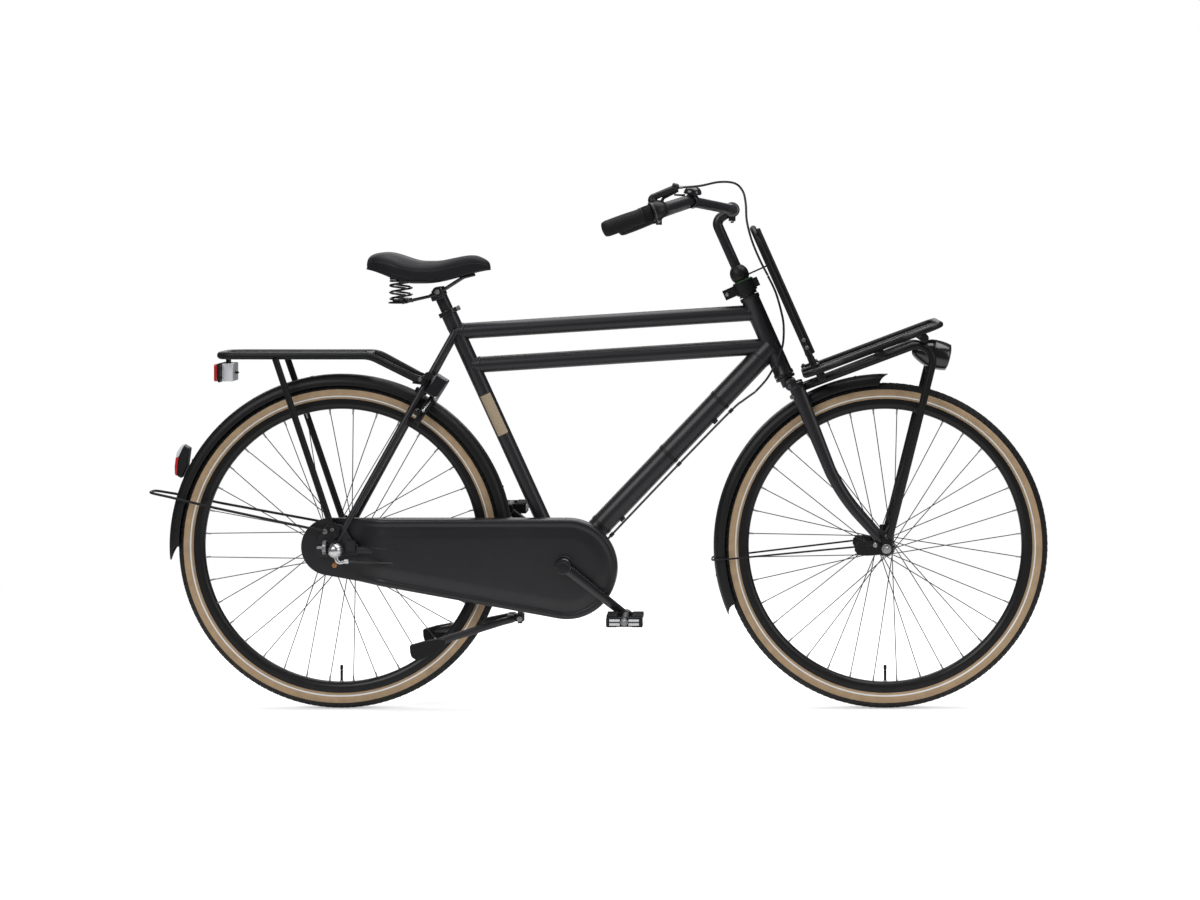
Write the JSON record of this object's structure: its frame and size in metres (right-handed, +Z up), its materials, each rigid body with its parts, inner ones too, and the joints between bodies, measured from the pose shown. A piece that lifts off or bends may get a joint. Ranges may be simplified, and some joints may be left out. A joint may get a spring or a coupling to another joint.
{
  "type": "city bicycle",
  "caption": "Upright city bicycle with twin top tubes, full chain case, rear carrier, wide front carrier, sprung saddle, ring lock and a double leg stand.",
  "frame": {"origin": "on the ground under the bike's mid-length, on its middle plane", "axes": "+X forward, +Y to the rider's left, +Z up"},
  "size_m": [1.935, 0.64, 1.1342],
  "materials": {
    "frame_paint": "satin",
    "black_paint": "satin",
    "tyre": "matt",
    "rubber": "matt",
    "steel": "satin",
    "dark_steel": "satin",
    "alloy": "satin",
    "plastic": "matt",
    "clear": "gloss",
    "red_lens": "gloss",
    "saddle_skin": "satin"
  },
  "bodies": {
    "frame": {"frame": "frame_paint", "seat_clamp": "frame_paint", "bottom_bracket": "steel", "headset_collar": "plastic", "rear_fender": "black_paint", "rear_fender_stays": "black_paint", "rear_carrier": "black_paint", "carrier_reflector": "plastic", "carrier_reflector_lens": "red_lens", "tail_lamp": "plastic", "tail_lamp_lens": "red_lens", "chain_case": "black_paint", "chain": "steel", "rear_axle": "steel", "shift_guide": "steel", "lock_body": "plastic", "shift_cable": "plastic"},
    "steering": {"fork": "frame_paint", "stem": "frame_paint", "handlebar": "frame_paint", "left_grip": "rubber", "right_grip": "rubber", "shifter_body": "plastic", "bell": "black_paint", "front_fender": "black_paint", "front_fender_stays": "black_paint", "front_carrier": "black_paint", "carrier_upright": "black_paint", "headlamp": "plastic", "headlamp_lens": "clear", "front_axle": "steel", "shift_cable_bar": "plastic", "shift_cable_loop": "plastic"},
    "front_wheel": {"front_tyre": "tyre", "front_rim": "black_paint", "front_hub": "alloy", "front_spokes_right": "dark_steel", "front_spokes_left": "dark_steel"},
    "rear_wheel": {"rear_tyre": "tyre", "rear_rim": "black_paint", "rear_hub": "alloy", "rear_spokes_right": "dark_steel", "rear_spokes_left": "dark_steel"},
    "crankset": {"chainring": "black_paint", "right_crank": "black_paint", "left_crank": "black_paint"},
    "right_pedal": {"right_pedal": "rubber"},
    "left_pedal": {"left_pedal": "rubber"},
    "driver": {"sprocket": "steel"},
    "stand": {"stand_legs": "frame_paint"},
    "gear_sleeve": {"shifter_grip": "rubber"},
    "bell_lever": {"bell_lever": "black_paint"},
    "lock_shackle": {"lock_shackle": "steel"},
    "lock_key": {"lock_key": "steel"},
    "seat": {"seat_post": "frame_paint", "saddle_rails": "black_paint", "saddle_spring_right": "black_paint", "saddle_spring_left": "black_paint"},
    "saddle_top": {"saddle_base": "plastic", "saddle": "saddle_skin"}
  },
  "joints": [
    {"name": "steering", "type": "hinge", "parent": "frame", "child": "steering", "pos_m": [0.398, 0, 0.7163], "axis": [-0.4065, 0, 0.9136], "range_deg": [-50, 50], "deforming": ["shift_cable_loop"]},
    {"name": "front_wheel_spin", "type": "hinge", "parent": "steering", "child": "front_wheel", "pos_m": [0.615, 0, 0.3505], "axis": [0, 1, 0], "continuous": true},
    {"name": "rear_wheel_spin", "type": "hinge", "parent": "frame", "child": "rear_wheel", "pos_m": [-0.557, 0, 0.3505], "axis": [0, 1, 0], "continuous": true},
    {"name": "crank_spin", "type": "hinge", "parent": "frame", "child": "crankset", "pos_m": [-0.072, 0, 0.316], "axis": [0, 1, 0], "continuous": true},
    {"name": "sprocket_spin", "type": "hinge", "parent": "frame", "child": "driver", "pos_m": [-0.557, 0, 0.3505], "axis": [0, 1, 0], "continuous": true},
    {"name": "right_pedal_spin", "type": "hinge", "parent": "crankset", "child": "right_pedal", "pos_m": [0.0612, -0.12, 0.21118], "axis": [0, 1, 0], "continuous": true},
    {"name": "left_pedal_spin", "type": "hinge", "parent": "crankset", "child": "left_pedal", "pos_m": [-0.2052, 0.12, 0.42082], "axis": [0, 1, 0], "continuous": true},
    {"name": "stand_fold", "type": "hinge", "parent": "frame", "child": "stand", "pos_m": [-0.171, 0, 0.195], "axis": [0, -1, 0], "range_deg": [0, 92]},
    {"name": "shifter_twist", "type": "hinge", "parent": "steering", "child": "gear_sleeve", "pos_m": [0.028, -0.305, 1.032], "axis": [0.9046, 0.2596, 0.3382], "range_deg": [-35, 35]},
    {"name": "bell_lever_push", "type": "hinge", "parent": "steering", "child": "bell_lever", "pos_m": [0.18619, -0.19519, 1.10288], "axis": [0.099, -0.099, 0.9901], "range_deg": [0, 25], "stiffness_Nm_per_rad": 0.05},
    {"name": "lock_close", "type": "hinge", "parent": "frame", "child": "lock_shackle", "pos_m": [-0.37842, 0, 0.63629], "axis": [-0.848, 0, 0.5299], "range_deg": [0, 160]},
    {"name": "lock_key_turn", "type": "hinge", "parent": "frame", "child": "lock_key", "pos_m": [-0.33708, -0.05, 0.70244], "axis": [-0.848, 0, 0.5299], "range_deg": [0, 90]},
    {"name": "saddle_height", "type": "slide", "parent": "frame", "child": "seat", "axis": [-0.4155, 0, 0.9096], "range_m": [0, 0.12]},
    {"name": "saddle_bounce", "type": "hinge", "parent": "seat", "child": "saddle_top", "pos_m": [-0.271, 0, 0.934], "axis": [0, -1, 0], "range_deg": [0, 2.5], "stiffness_Nm_per_rad": 400, "deforming": ["saddle_spring_right", "saddle_spring_left"]}
  ],
  "couplings": [
    {"joint": "sprocket_spin", "follows": "crank_spin", "ratio": 1.9}
  ]
}
